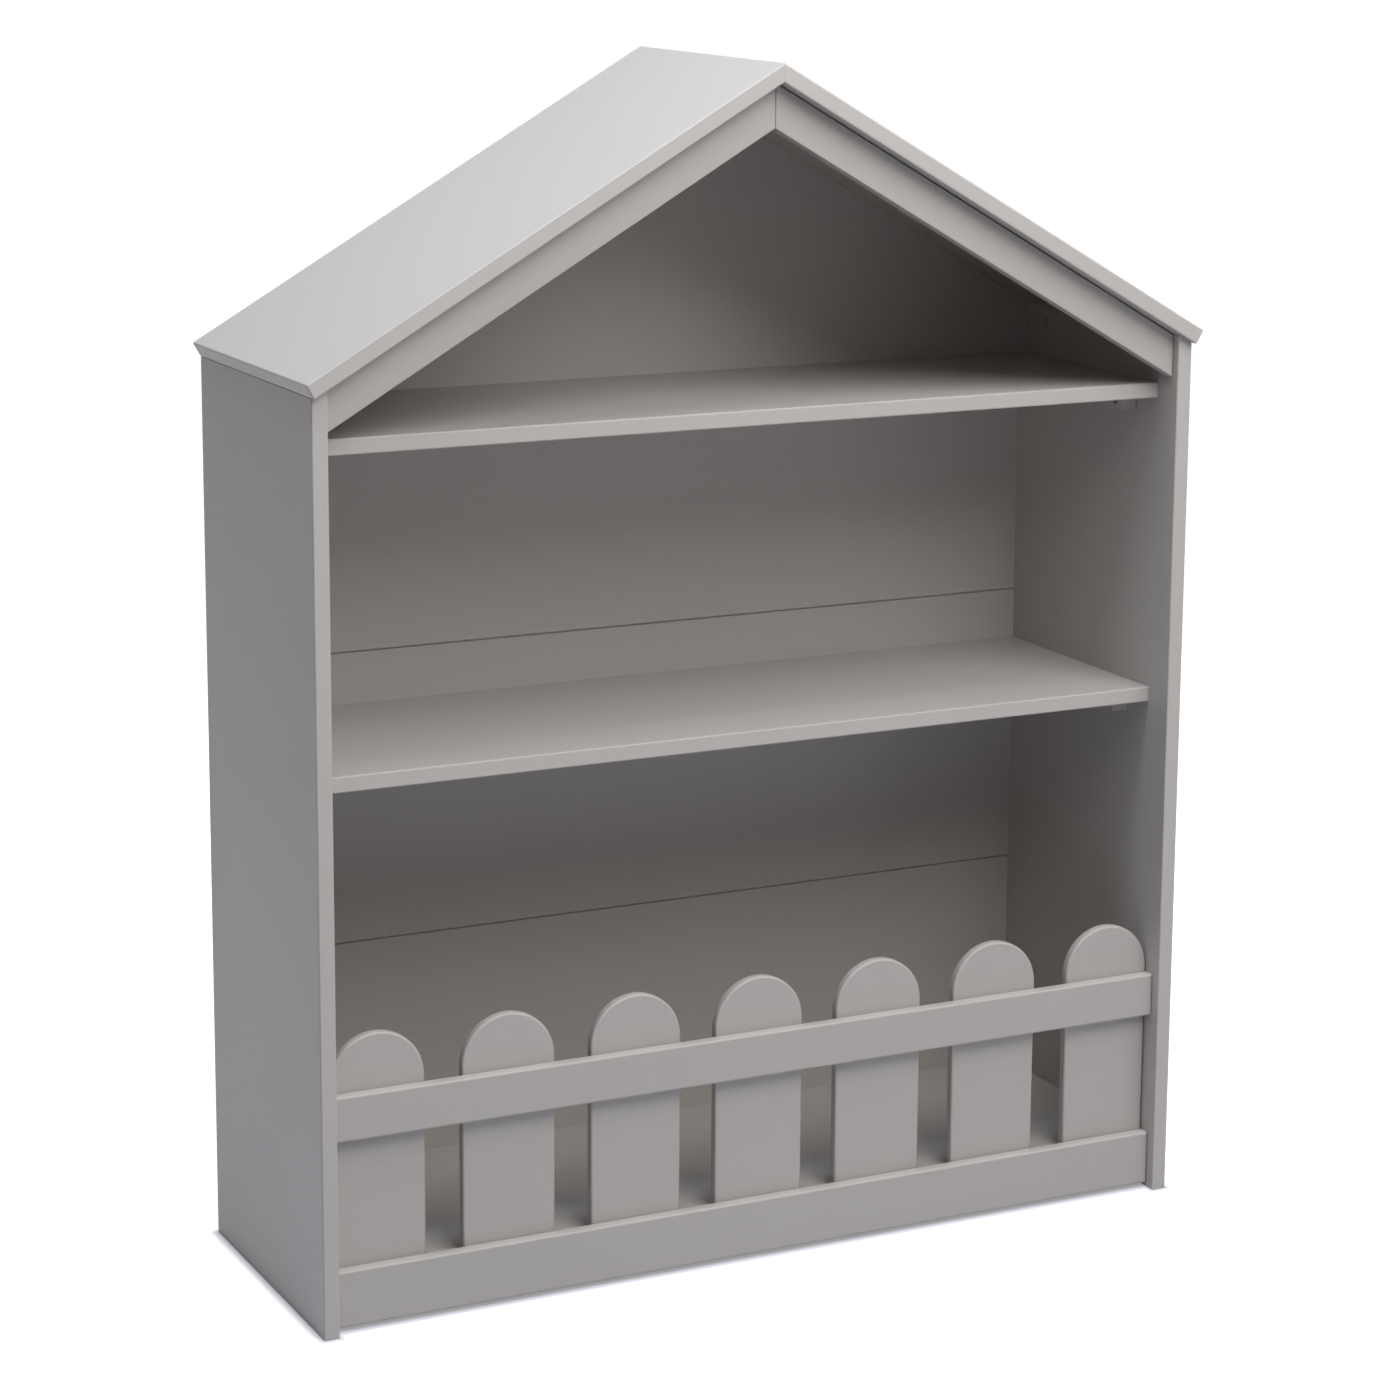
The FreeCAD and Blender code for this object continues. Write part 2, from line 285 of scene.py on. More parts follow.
def ease_edges(piece, radius, steps, wanted=lambda edge: True):
    """Rounds the sharp edges of a piece that are wanted."""
    shell = bmesh.new()
    shell.from_mesh(piece.data)
    square = math.radians(50.0)
    sharp = [edge for edge in shell.edges if edge.calc_face_angle(0.0) > square and wanted(edge)]
    bmesh.ops.bevel(shell, geom=sharp, offset=radius, segments=steps, profile=0.5, affect="EDGES")
    shell.to_mesh(piece.data)
    shell.free()


def shade(piece, flat_area, sharp_degrees=40.0):
    """Smooth shading up to the given angle, but flat on faces larger than an area."""
    piece.data.set_sharp_from_angle(angle=math.radians(sharp_degrees))
    for face in piece.data.polygons:
        face.use_smooth = face.area < flat_area


def middle_of(name):
    low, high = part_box(name)
    return (Vector(low) + Vector(high)) / 2


def join_object(piece, slot, *replaced):
    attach(piece, "root")
    if replaced:
        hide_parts(*replaced)


block_inputs = {
    "Across": "Float", "Along": "Float", "Through": "Float", "Bore": "Float", "Bore Depth": "Float",
    "Finish": "Material",
}
block_tree, graph, size = shape_tree("drilled_block", block_inputs)
block_size = vector(graph, size["Across"], size["Along"], size["Through"])
body = graph.node("GeometryNodeMeshCube", None, {"Size": block_size})
drill_sockets = {"Vertices": 32, "Radius": size["Bore"] * 0.5, "Depth": size["Bore Depth"] * 2.0}
drill = graph.node("GeometryNodeMeshCylinder", None, drill_sockets)
drill = moved(graph, drill, vector(graph, z=size["Through"] * -0.5))
cut = {"Mesh 1": body, "Mesh 2": drill}
body = graph.node("GeometryNodeMeshBoolean", {"operation": "DIFFERENCE"}, cut)
close_tree(graph, aimed_copies(graph, size["Places"], body), size["Finish"])

board_paint = satin_paint("warm_grey_satin_paint", warm_grey)
block_width = 0.018
block_length = 0.021
block_height = 0.016
block_easing = 0.0006


def drilled_blocks(name, block_names, across, along, aim_at):
    """Eased blocks in place of the named nodes, each drilled in the face that looks against its aim."""
    places = [middle_of(block) for block in block_names]
    sizes = {
        "Across": across, "Along": along, "Through": block_width, "Bore": 0.0072, "Bore Depth": 0.005,
        "Finish": board_paint,
    }
    blocks = shaped_piece(name, block_tree, places, sizes, [aim_at(place) for place in places])
    close_seams(blocks)
    ease_edges(blocks, block_easing, steps=2)
    shade(blocks, flat_area=2e-5)
    join_object(blocks, "painted_board", *block_names)


def towards_side(place):
    return math.copysign(1.0, place.x), 0.0, 0.0


shelf_block_names = []
for shelf in shelf_names:
    for place in ("front_left", "rear_left", "front_right", "rear_right"):
        shelf_block_names.append(f"{shelf}_block_{place}")
drilled_blocks("drilled_shelf_blocks", shelf_block_names, block_height, block_length, towards_side)


# Shelf block screws
# Zinc-plated countersunk wood screws with a cross recess, one through each block into the side panel.
# Their heads sit at the bottom of the counterbore.
def zinc_plate(name, colour, rough):
    """Bright zinc plating: a fine mottled haze, small dull spots, and brighter rubbed edges."""
    material, graph = blank_material(name)
    place = object_place(graph)
    edge_radius = 0.0004
    rounded, edge = eased_edges(graph, edge_radius)
    haze = noise(graph, place, scale=260.0, detail=4.0, roughness=0.65)
    spots = ramp(graph, noise(graph, place, scale=900.0), 0.58, 0.72)
    body = scaled_colour(graph, colour, 0.86 + haze * 0.24 - spots * 0.12)
    bright = (*[min(1.0, 1.2 * part) for part in colour], 1.0)
    sockets = {
        "Base Color": mixed_colour(graph, edge * 0.6, body, bright),
        "Metallic": 1.0,
        "Roughness": rough + haze * 0.18 + spots * 0.10 - edge * 0.08,
        "Normal": raised(graph, haze, strength=0.12, depth=0.0002, normal=rounded),
    }
    surface_output(graph, sockets)
    return material


def fastener_places(name):
    """The head, the direction and the length of each solid in a node of fasteners."""
    shell = bmesh.new()
    shell.from_mesh(nodes[name].data)
    bmesh.ops.remove_doubles(shell, verts=shell.verts, dist=1e-6)
    seen = set()
    heads, aims, lengths = [], [], []
    for first in shell.verts:
        if first in seen:
            continue
        solid = [first]
        seen.add(first)
        for vert in solid:
            fresh = [edge.other_vert(vert) for edge in vert.link_edges if edge.other_vert(vert) not in seen]
            solid.extend(fresh)
            seen.update(fresh)
        points = np.array([vert.co for vert in solid])
        middle = points.mean(axis=0)
        axis = np.linalg.svd(points - middle)[2][0]
        along = (points - middle) @ axis
        width = np.linalg.norm(points - middle - np.outer(along, axis), axis=1)
        if width[along.argmax()] > width[along.argmin()]:
            axis, along = -axis, -along
        heads.append(Vector(middle + axis * along.min()))
        aims.append(Vector(axis))
        lengths.append(along.max() - along.min())
    shell.free()
    return heads, aims, lengths


screw_inputs = {
    "Length": "Float", "Head": "Float", "Shank": "Float", "Head Depth": "Float", "Point": "Float",
    "Pitch": "Float", "Thread": "Float", "Recess": "Float", "Stations": "Int", "Finish": "Material",
}
screw_tree, graph, size = shape_tree("countersunk_screw", screw_inputs)
grid_sockets = {"Size X": 1.0, "Size Y": 1.0, "Vertices X": size["Stations"], "Vertices Y": 25}
skin = graph.node("GeometryNodeMeshGrid", None, grid_sockets)
place = graph.node("GeometryNodeInputPosition")
station = graph.node("ShaderNodeSeparateXYZ", None, {0: place}, out="X") + 0.5
lap = graph.node("ShaderNodeSeparateXYZ", None, {0: place}, out="Y") + 0.5
face_end = 0.18
cone_end = 0.26
shaft_end = 0.86
face = ramp(graph, station, 0.0, face_end)
cone = ramp(graph, station, face_end, cone_end)
shaft = ramp(graph, station, cone_end, shaft_end)
tip = ramp(graph, station, shaft_end, 1.0)
head_radius = size["Head"] * 0.5
shank_radius = size["Shank"] * 0.5
radius = head_radius * face - (head_radius - shank_radius) * cone - shank_radius * tip
depth = size["Head Depth"] * cone + (size["Length"] - size["Head Depth"] - size["Point"]) * shaft
depth = depth + size["Point"] * tip
crest = graph.math("PINGPONG", depth / size["Pitch"] + lap, 0.5)
thread = size["Thread"] * ramp(graph, crest, 0.2, 0.0) * ramp(graph, shaft, 0.1, 0.25) * (1.0 - tip)
turn = lap * math.tau
across = graph.math("COSINE", turn)
upward = graph.math("SINE", turn)
slot = graph.math("MINIMUM", graph.math("ABSOLUTE", across), graph.math("ABSOLUTE", upward)) * radius
slot_wall = (0.0007, 0.0004)
slot_end = (0.0022, 0.0017)
cross = ramp(graph, slot, *slot_wall) * ramp(graph, radius, *slot_end) * (1.0 - cone)
reach = radius + thread
skin_place = vector(graph, across * reach, upward * reach, depth + size["Recess"] * cross)
skin = graph.node("GeometryNodeSetPosition", None, {"Geometry": skin, "Position": skin_place})
close_tree(graph, aimed_copies(graph, size["Places"], skin), size["Finish"])

screw_zinc = zinc_plate("zinc_plated_screws", colour=(0.66, 0.64, 0.59), rough=0.26)


def screws(node):
    """Round, threaded screws in place of a node of plain ones."""
    heads, aims, lengths = fastener_places(node)
    pitch = 0.0022
    sizes = {
        "Length": float(lengths[0]), "Head": 0.0064, "Shank": 0.0030, "Head Depth": 0.0025, "Point": 0.004,
        "Pitch": pitch, "Thread": 0.00022, "Recess": 0.0014, "Finish": screw_zinc,
        "Stations": 36 + int(6 * lengths[0] / pitch),
    }
    piece = shaped_piece(f"threaded_{node}", screw_tree, heads, sizes, aims)
    close_seams(piece)
    shade(piece, flat_area=1.0, sharp_degrees=50.0)
    join_object(piece, "screw_steel", node)


screws("shelf_block_screws")


# Fence
# Seven round-topped pickets stand behind a fence rail and a base rail. All are cut from fibreboard, with
# rounded front rims, painted like the case, and each picket is screwed to both rails from the back.
# The rails and pickets get a painted highlight: faces turned up and forward, such as the tops and upper
# rims, are painted paler.
upper_highlight_side = (0.0, -0.5, 0.866)
upper_highlight_gain = 0.14
fence_paint = satin_paint("satin_paint_with_painted_upper_highlight", warm_grey, upper_highlight_side, upper_highlight_gain)
finish_nodes(fence_paint, "fence_rail", "base_rail")

picket_inputs = {
    "Width": "Float", "Height": "Float", "Thickness": "Float", "Upper Hole": "Float", "Lower Hole": "Float",
    "Hole": "Float", "Sink": "Float", "Rim Points": "Int", "Finish": "Material",
}
picket_tree, graph, size = shape_tree("round_topped_picket", picket_inputs)
half_width = size["Width"] * 0.5
disc_sockets = {"Vertices": size["Rim Points"], "Radius": half_width}
disc = graph.node("GeometryNodeMeshCircle", {"fill_type": "NGON"}, disc_sockets)
disc = moved(graph, disc, (0.0, 0.0, 0.0), (math.pi / 2, 0.0, 0.0))
place = graph.node("GeometryNodeInputPosition")
side = graph.math("SIGN", graph.node("ShaderNodeSeparateXYZ", None, {0: place}, out="X"))
lower = graph.math("LESS_THAN", graph.node("ShaderNodeSeparateXYZ", None, {0: place}, out="Z"), -1e-5)
foot = vector(graph, side * half_width, 0.0, half_width - size["Height"])
outline_sockets = {"Geometry": disc, "Selection": lower, "Position": foot}
outline = graph.node("GeometryNodeSetPosition", None, outline_sockets)
outline = graph.node("GeometryNodeMergeByDistance", None, {"Geometry": outline, "Distance": 1e-6})
push = vector(graph, y=size["Thickness"])
push_sockets = {"Mesh": outline, "Offset": push, "Offset Scale": 1.0, "Individual": False}
pushed = graph.node("GeometryNodeExtrudeMesh", {"mode": "FACES"}, push_sockets)
board = joined(graph, graph.node("GeometryNodeFlipFaces", None, {"Mesh": outline}), pushed)
board = graph.node("GeometryNodeMergeByDistance", None, {"Geometry": board, "Distance": 1e-6})
hole_radius = size["Hole"] * 0.5
over = 0.0005
sink_sockets = {
    "Vertices": 32, "Radius Top": hole_radius + over, "Radius Bottom": hole_radius - size["Sink"],
    "Depth": size["Sink"] + over,
}
sink = graph.node("GeometryNodeMeshCone", None, sink_sockets)
sink = moved(graph, sink, vector(graph, z=size["Sink"] * -1.0))
sink = moved(graph, sink, (0.0, 0.0, 0.0), (-math.pi / 2, 0.0, 0.0))
sinks = []
for label in ("Upper Hole", "Lower Hole"):
    sinks.append(moved(graph, sink, vector(graph, 0.0, size["Thickness"], size[label])))
drilled = {"Mesh 1": board, "Mesh 2": sinks}
board = graph.node("GeometryNodeMeshBoolean", {"operation": "DIFFERENCE"}, drilled)
close_tree(graph, copies_at(graph, size["Places"], board), size["Finish"])

picket_names = [f"picket_{number}" for number in range(1, 8)]
picket_low, picket_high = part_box("picket_1")
picket_width = picket_high[0] - picket_low[0]
picket_front = picket_low[1]
picket_back = picket_high[1]
crown_centre = picket_high[2] - picket_width / 2
picket_places = [(middle_of(name).x, picket_front, crown_centre) for name in picket_names]
picket_sizes = {
    "Width": picket_width,
    "Height": picket_high[2] - picket_low[2],
    "Thickness": picket_back - picket_front,
    "Upper Hole": middle_of("fence_rail").z - crown_centre,
    "Lower Hole": middle_of("base_rail").z - crown_centre,
    "Hole": 0.0069, "Sink": 0.0024, "Rim Points": 128, "Finish": fence_paint,
}
pickets = shaped_piece("round_topped_pickets", picket_tree, picket_places, picket_sizes)
close_seams(pickets)


def rim_at(depth):
    """A test for the edges that lie at one depth of the object."""
    return lambda edge: all(abs(vert.co.y - depth) < 1e-5 for vert in edge.verts)


front_rim_radius = 0.002
back_rim_radius = 0.0007
ease_edges(pickets, front_rim_radius, steps=5, wanted=rim_at(picket_front))
ease_edges(pickets, back_rim_radius, steps=2, wanted=rim_at(picket_back))
shade(pickets, flat_area=1e-3)
join_object(pickets, "painted_board", *picket_names)
screws("picket_screws")


# Rail dowels
# Fluted beech dowels between the rails and the side panels, glued in blind holes, so that the outer faces
# stay clean. Their ends are chamfered, and the flutes let the glue escape.
def raw_beech(name):
    material, graph = blank_material(name)
    place = object_place(graph)
    grain = noise(graph, place, scale=320.0, detail=4.0, roughness=0.7)
    rays = ramp(graph, noise(graph, place, scale=1100.0), 0.55, 0.7)
    colour = mixed_colour(graph, grain, (0.62, 0.42, 0.24, 1.0), (0.72, 0.53, 0.33, 1.0))
    colour = mixed_colour(graph, rays * 0.4, colour, (0.45, 0.27, 0.14, 1.0))
    normal = raised(graph, grain, strength=0.2, depth=0.0002)
    surface_output(graph, {"Base Color": colour, "Roughness": 0.62 + grain * 0.2, "Normal": normal})
    return material


dowel_inputs = {
    "Length": "Float", "Diameter": "Float", "Chamfer": "Float", "Flutes": "Int", "Flute Depth": "Float",
    "Finish": "Material",
}
dowel_tree, graph, size = shape_tree("fluted_dowel", dowel_inputs)
rows = 12
grid_sockets = {"Size X": 1.0, "Size Y": 1.0, "Vertices X": rows + 1, "Vertices Y": 121}
skin = graph.node("GeometryNodeMeshGrid", None, grid_sockets)
place = graph.node("GeometryNodeInputPosition")
station = graph.node("ShaderNodeSeparateXYZ", None, {0: place}, out="X") + 0.5
turn = (graph.node("ShaderNodeSeparateXYZ", None, {0: place}, out="Y") + 0.5) * math.tau
near_face = ramp(graph, station, 0.0, 1 / rows)
near_chamfer = ramp(graph, station, 1 / rows, 3 / rows)
barrel = ramp(graph, station, 3 / rows, 9 / rows)
far_chamfer = ramp(graph, station, 9 / rows, 11 / rows)
far_face = ramp(graph, station, 11 / rows, 1.0)
end_radius = size["Diameter"] * 0.5 - size["Chamfer"]
radius = end_radius * near_face + size["Chamfer"] * (near_chamfer - far_chamfer) - end_radius * far_face
groove = graph.math("POWER", graph.math("ABSOLUTE", graph.math("SINE", turn * size["Flutes"] * 0.5)), 0.5)
radius = radius - size["Flute Depth"] * (1.0 - groove) * (near_chamfer - far_chamfer)
depth = size["Chamfer"] * (near_chamfer + far_chamfer) + (size["Length"] - size["Chamfer"] * 2.0) * barrel
skin_place = vector(graph, graph.math("COSINE", turn) * radius, graph.math("SINE", turn) * radius, depth)
skin = graph.node("GeometryNodeSetPosition", None, {"Geometry": skin, "Position": skin_place})
close_tree(graph, aimed_copies(graph, size["Places"], skin), size["Finish"])

beech = raw_beech("raw_beech_dowel")


def dowels(node):
    """Round, fluted dowels in place of a node of plain ones."""
    ends, aims, lengths = fastener_places(node)
    sizes = {
        "Length": float(lengths[0]), "Diameter": 0.0055, "Chamfer": 0.0009,
        "Flutes": 16, "Flute Depth": 0.0003, "Finish": beech,
    }
    piece = shaped_piece(f"fluted_{node}", dowel_tree, ends, sizes, aims)
    close_seams(piece)
    shade(piece, flat_area=1.0, sharp_degrees=35.0)
    join_object(piece, "dowel_wood", node)


dowels("rail_dowels")


# Gable back board
# A thicker painted board closes the back of the gable. It stands on the top shelf, screwed from below, and
# two dowels on each slope hold it to the roof.
finish_nodes(board_paint, "gable_back_board")
dowels("gable_board_dowels")
screws("gable_board_screws")


# Roof
# Two painted panels, mitred at the ridge and cut square at the eaves, with eased edges. Screws from the
# inner faces of the sides run square into them.
finish_nodes(case_paint, "left_roof_panel", "right_roof_panel")
screws("roof_screws")


# Ridge brackets
# Two steel plates under the ridge, stamped with rounded corners, bent to the pitch and zinc plated. Four
# screws each pull the mitre of the two roof panels together.
bracket_zinc = zinc_plate("zinc_plated_bracket", colour=(0.60, 0.60, 0.60), rough=0.32)


def stamped_bracket(node):
    """The bent plate of a node with the corners of its legs rounded."""
    piece = bpy.data.objects.new(f"stamped_{node}", bpy.data.meshes.new(node))
    bpy.context.scene.collection.objects.link(piece)
    shell = bmesh.new()
    shell.from_mesh(nodes[node].data)
    bmesh.ops.remove_doubles(shell, verts=shell.verts, dist=1e-6)
    bmesh.ops.dissolve_limit(shell, angle_limit=math.radians(1.0), verts=shell.verts, edges=shell.edges)
    shell.to_mesh(piece.data)
    shell.free()
    reach = max(abs(vert.co.x) for vert in piece.data.vertices)
    plate = 0.002
    corner_radius = 0.006

    def leg_corner(edge):
        at_end = all(abs(vert.co.x) > 0.95 * reach for vert in edge.verts)
        return at_end and edge.calc_length() < 1.1 * plate

    ease_edges(piece, corner_radius, steps=6, wanted=leg_corner)
    shade(piece, flat_area=1e-4, sharp_degrees=30.0)
    piece.data.materials.clear()
    piece.data.materials.append(bracket_zinc)
    join_object(piece, "bracket_steel", node)


stamped_bracket("front_ridge_bracket")
stamped_bracket("rear_ridge_bracket")
screws("ridge_bracket_screws")


# Gable fascias
# Two sloping boards under the front of the roof, joined by a mitre at the middle, on glued blocks that are
# screwed up into the roof.
finish_nodes(board_paint, "left_gable_fascia", "right_gable_fascia")
fascia_block_names = []
for side in ("left", "right"):
    for place in ("upper", "lower"):
        fascia_block_names.append(f"{side}_fascia_block_{place}")
roof_pitch = math.radians(30.0)


def towards_roof(place):
    return math.copysign(math.sin(roof_pitch), place.x), 0.0, math.cos(roof_pitch)


drilled_blocks("drilled_fascia_blocks", fascia_block_names, block_length, block_height, towards_roof)
screws("fascia_block_screws")


# Folding back
# A thin hardboard back in three sections, painted on the face and raw brown behind, where the press screen
# has left its mesh. Paper tapes make the hinges of the two folds.
def painted_hardboard(name, paint_colour):
    material, graph = blank_material(name)
    paint, paint_rough, paint_normal = satin_paint_layers(graph, paint_colour)
    place = object_place(graph)
    fibres = noise(graph, place, scale=150.0, detail=6.0, roughness=0.7)
    patches = noise(graph, place, scale=9.0, detail=3.0)
    lengthwise = {"wave_type": "BANDS", "bands_direction": "X"}
    upright = {"wave_type": "BANDS", "bands_direction": "Z"}
    wave = {"Vector": place, "Scale": 150.0, "Distortion": 0.6, "Detail": 1.0}
    wires = graph.node("ShaderNodeTexWave", lengthwise, wave, out="Fac")
    wires = wires * graph.node("ShaderNodeTexWave", upright, wave, out="Fac")
    brown = mixed_colour(graph, fibres, (0.16, 0.085, 0.042, 1.0), (0.30, 0.175, 0.095, 1.0))
    brown = scaled_colour(graph, brown, 0.80 + patches * 0.30 + wires * 0.20)
    facing = graph.node("ShaderNodeNewGeometry", out="Normal")
    behind = ramp(graph, graph.node("ShaderNodeSeparateXYZ", None, {0: facing}, out="Y"), 0.3, 0.6)
    raw_normal = raised(graph, wires + fibres * 0.5, strength=0.35, depth=0.0003)
    colour = mixed_colour(graph, behind, paint, brown)
    rough = paint_rough + (0.72 + fibres * 0.15 - paint_rough) * behind
    normal_sockets = {0: behind, 4: paint_normal, 5: raw_normal}
    normal = graph.node("ShaderNodeMix", {"data_type": "VECTOR"}, normal_sockets, out=1)
    surface_output(graph, {"Base Color": colour, "Roughness": rough, "Normal": normal})
    return material


def gummed_paper(name):
    material, graph = blank_material(name)
    place = object_place(graph)
    pulp = noise(graph, place, scale=380.0, detail=5.0, roughness=0.7)
    creases = noise(graph, place, scale=28.0, detail=3.0)
    colour = mixed_colour(graph, pulp, (0.42, 0.33, 0.22, 1.0), (0.55, 0.45, 0.32, 1.0))
    colour = scaled_colour(graph, colour, 0.9 + creases * 0.2)
    normal = raised(graph, pulp * 0.4 + creases, strength=0.25, depth=0.0004)
    surface_output(graph, {"Base Color": colour, "Roughness": 0.66 + pulp * 0.2, "Normal": normal})
    return material


finish_nodes(
    painted_hardboard("painted_hardboard", warm_grey),
    "lower_back_sheet", "middle_back_sheet", "upper_back_sheet",
)
finish_nodes(gummed_paper("gummed_paper_tape"), "back_fold_tapes")


# Back nails
# Small flat-headed steel nails hold the thin back to the rear edges of the sides and shelves. They are
# driven by hand along a line, so that their places stray a little.
nail_inputs = {
    "Spacing": "Float", "Stray": "Float", "Head": "Float", "Proud": "Float", "Shank": "Float",
    "Length": "Float", "Seed": "Int", "Finish": "Material",
}
nail_tree, graph, size = shape_tree("back_nails", nail_inputs)
line = graph.node("GeometryNodeMeshToCurve", None, {"Mesh": size["Places"]})
marks_sockets = {"Curve": line, "Length": size["Spacing"]}
marks = graph.node("GeometryNodeResampleCurve", {"mode": "LENGTH"}, marks_sockets)
stray_low = vector(graph, size["Stray"] * -1.0, 0.0, size["Stray"] * -1.0)
stray_high = vector(graph, size["Stray"], 0.0, size["Stray"])
stray_sockets = {0: stray_low, 1: stray_high, "Seed": size["Seed"]}
stray = graph.node("FunctionNodeRandomValue", {"data_type": "FLOAT_VECTOR"}, stray_sockets)
marks = graph.node("GeometryNodeSetPosition", None, {"Geometry": marks, "Offset": stray})
head_sockets = {
    "Vertices": 20, "Radius Top": size["Head"] * 0.40, "Radius Bottom": size["Head"] * 0.5,
    "Depth": size["Proud"],
}
head = graph.node("GeometryNodeMeshCone", None, head_sockets)
shank_sockets = {"Vertices": 10, "Radius": size["Shank"] * 0.5, "Depth": size["Length"]}
shank = graph.node("GeometryNodeMeshCylinder", None, shank_sockets)
shank = moved(graph, shank, vector(graph, z=size["Length"] * -0.5 + size["Proud"] * 0.5))
nail = moved(graph, joined(graph, head, shank), (0.0, 0.0, 0.0), (-math.pi / 2, 0.0, 0.0))
close_tree(graph, copies_at(graph, marks, nail), size["Finish"])

sheet_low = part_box("lower_back_sheet")[0]
sheet_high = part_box("upper_back_sheet")[1]
sheet_face = sheet_high[1]
side_line = middle_of("right_side_panel").x
first_nail = sheet_low[2] + 0.03
last_nail = sheet_high[2] - 0.05
shelf_run_end = side_line - 0.12
nail_points = []
nail_edges = []
runs = [((x, first_nail), (x, last_nail)) for x in (-side_line, side_line)]
for shelf in shelf_names:
    height = middle_of(shelf).z
    runs.append(((-shelf_run_end, height), (shelf_run_end, height)))
for start, end in runs:
    nail_edges.append((len(nail_points), len(nail_points) + 1))
    nail_points += [(start[0], sheet_face, start[1]), (end[0], sheet_face, end[1])]
nail_steel = zinc_plate("plain_steel_nails", colour=(0.50, 0.49, 0.47), rough=0.34)
nail_sizes = {
    "Spacing": 0.125, "Stray": 0.0025, "Head": 0.0046, "Proud": 0.00018, "Shank": 0.0014, "Length": 0.016,
    "Seed": 7, "Finish": nail_steel,
}
nails = shaped_piece("back_nails", nail_tree, nail_points, nail_sizes, edges=nail_edges)
close_seams(nails)
shade(nails, flat_area=1e-5, sharp_degrees=30.0)
join_object(nails, "screw_steel")


# Studio
# A white sweep under three soft lamps and a dim room, cool on the left and warm on the right, with the
# camera where the photograph was taken from.
def softbox(name, place, aim, size, power, colour):
    light = bpy.data.lights.new(name, "AREA")
    light.shape = "DISK"
    light.size = size
    light.energy = power
    light.color = colour
    lamp = bpy.data.objects.new(name, light)
    lamp.location = place
    lamp.visible_glossy = False
    lamp.rotation_euler = (Vector(aim) - Vector(place)).to_track_quat("-Z", "Y").to_euler()
    bpy.context.scene.collection.objects.link(lamp)


softbox(
    "key_softbox", place=(0.35, -1.7, 2.5), aim=(0.0, 0.0, 0.8),
    size=1.9, power=53.0, colour=(0.995, 0.99, 0.97),
)
softbox(
    "roof_softbox", place=(-0.5, -0.35, 2.6), aim=(0.0, 0.0, 1.0),
    size=0.9, power=26.0, colour=(0.785, 0.865, 1.0),
)
softbox(
    "rear_softbox", place=(0.8, 2.3, 1.0), aim=(0.0, 0.0, 0.55),
    size=1.2, power=16.0, colour=(1.0, 0.98, 0.95),
)


def background_rays(graph):
    """1 for the rays that see the background: straight ones, mirrored ones and those through glass."""
    seen = graph.node("ShaderNodeLightPath", out="Is Camera Ray")
    for ray in ("Is Glossy Ray", "Is Transmission Ray"):
        seen = graph.math("MAXIMUM", seen, graph.node("ShaderNodeLightPath", out=ray))
    return seen


world = bpy.data.worlds.new("studio_white")
bpy.context.scene.world = world
world.use_nodes = True
world.node_tree.nodes.clear()
air = Channel(world.node_tree)
seen = background_rays(air)
towards = air.node("ShaderNodeTexCoord", out="Generated")
rightwards = air.node("ShaderNodeSeparateXYZ", None, {0: towards}, out="X")
room_level = 0.18
room_slope = 0.12
fill = room_level + rightwards * room_slope
cool_left = (0.98, 0.95, 0.99, 1.0)
warm_right = (1.0, 0.92, 0.81, 1.0)
room = mixed_colour(air, ramp(air, rightwards, -0.6, 0.6), cool_left, warm_right)
dim = air.node("ShaderNodeBackground", None, {"Color": room, "Strength": fill})
white = air.node("ShaderNodeBackground", None, {"Color": (1.0, 1.0, 1.0, 1.0), "Strength": 1.0})
sky = air.node("ShaderNodeMixShader", None, {0: seen, 1: dim, 2: white})
air.node("ShaderNodeOutputWorld", None, {"Surface": sky})

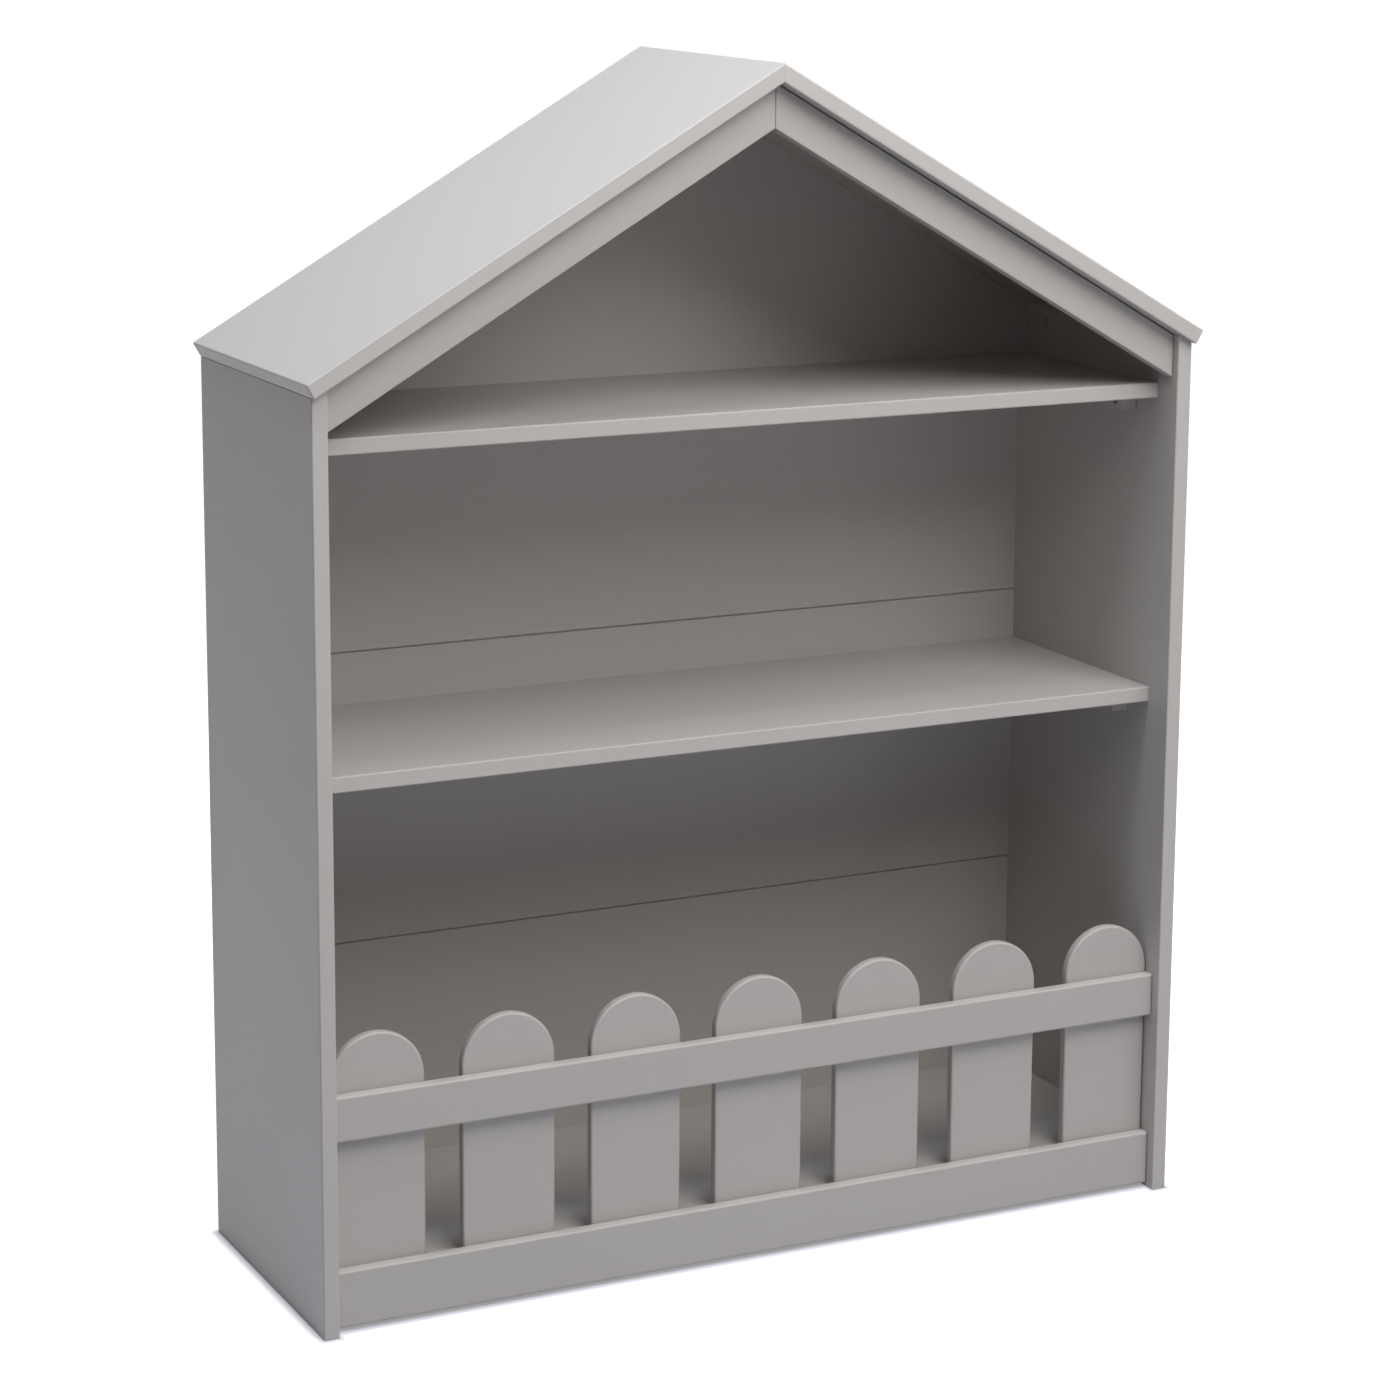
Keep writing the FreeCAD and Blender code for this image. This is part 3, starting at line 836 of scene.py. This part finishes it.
floor_material, graph = blank_material("white_floor")
paper = graph.node("ShaderNodeBsdfDiffuse", None, {"Color": (0.49, 0.50, 0.565, 1.0)})
left_foot = [Vector(corner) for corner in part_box("left_side_panel")]
right_foot = [Vector(corner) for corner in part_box("right_side_panel")]
rail_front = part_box("base_rail")[0][1]
case_foot = [Vector((left_foot[0].x, rail_front, 0.0)), right_foot[1]]
away = 1.0
for low, high in (case_foot, left_foot, right_foot):
    gap = object_place(graph)
    gap = graph.node("ShaderNodeVectorMath", {"operation": "SUBTRACT"}, {0: gap, 1: (low + high) / 2})
    gap = graph.node("ShaderNodeVectorMath", {"operation": "ABSOLUTE"}, {0: gap})
    gap = graph.node("ShaderNodeVectorMath", {"operation": "SUBTRACT"}, {0: gap, 1: (high - low) / 2})
    gap = graph.node("ShaderNodeVectorMath", {"operation": "MAXIMUM"}, {0: gap, 1: (0.0, 0.0, 0.0)})
    gap = graph.node("ShaderNodeVectorMath", {"operation": "LENGTH"}, {0: gap}, out="Value")
    away = graph.math("MINIMUM", gap, away)
# The floor's white glow is lowered near the feet: a painted contact shadow over the floor's real shadow.
painted_contact_shadow_width = 0.011
painted_contact_shadow_glow = 0.30
open_glow = 0.62
painted_shadow_fade = ramp(graph, away, 0.0, painted_contact_shadow_width)
lift = (painted_contact_shadow_glow + painted_shadow_fade * painted_shadow_fade * (3.0 - painted_shadow_fade * 2.0) * open_glow) * background_rays(graph)
glow = graph.node("ShaderNodeEmission", None, {"Color": (1.0, 1.0, 1.0, 1.0), "Strength": lift})
sweep = graph.node("ShaderNodeAddShader", None, {0: paper, 1: glow})
underneath = graph.node("ShaderNodeNewGeometry", out="Backfacing")
clear = graph.node("ShaderNodeBsdfTransparent")
one_sided = graph.node("ShaderNodeMixShader", None, {0: underneath, 1: sweep, 2: clear})
graph.node("ShaderNodeOutputMaterial", None, {"Surface": one_sided})
floor_reach = 6.0
floor_height = -0.0003
floor_mesh = bpy.data.meshes.new("floor")
corners = []
for x, y in ((-1, -1), (1, -1), (1, 1), (-1, 1)):
    corners.append((x * floor_reach, y * floor_reach, floor_height))
floor_mesh.from_pydata(corners, [], [(0, 1, 2, 3)])
floor_mesh.materials.append(floor_material)
floor = bpy.data.objects.new("floor", floor_mesh)
bpy.context.scene.collection.objects.link(floor)

camera_place = Vector((-1.5041, -3.0280, 1.3073))
camera_forward = Vector((0.4352, 0.87976, -0.19137))
camera_roll = math.radians(0.364)
camera_data = bpy.data.cameras.new("photo_camera")
camera_data.sensor_width = 36.0
camera_data.lens = 93.77
camera_data.shift_y = -0.1
camera = bpy.data.objects.new("photo_camera", camera_data)
turn = camera_forward.to_track_quat("-Z", "Y").to_matrix() @ Matrix.Rotation(camera_roll, 3, "Z")
camera.matrix_world = Matrix.Translation(camera_place) @ turn.to_4x4()
bpy.context.scene.collection.objects.link(camera)
bpy.context.scene.camera = camera
bpy.context.scene.view_settings.view_transform = "Standard"
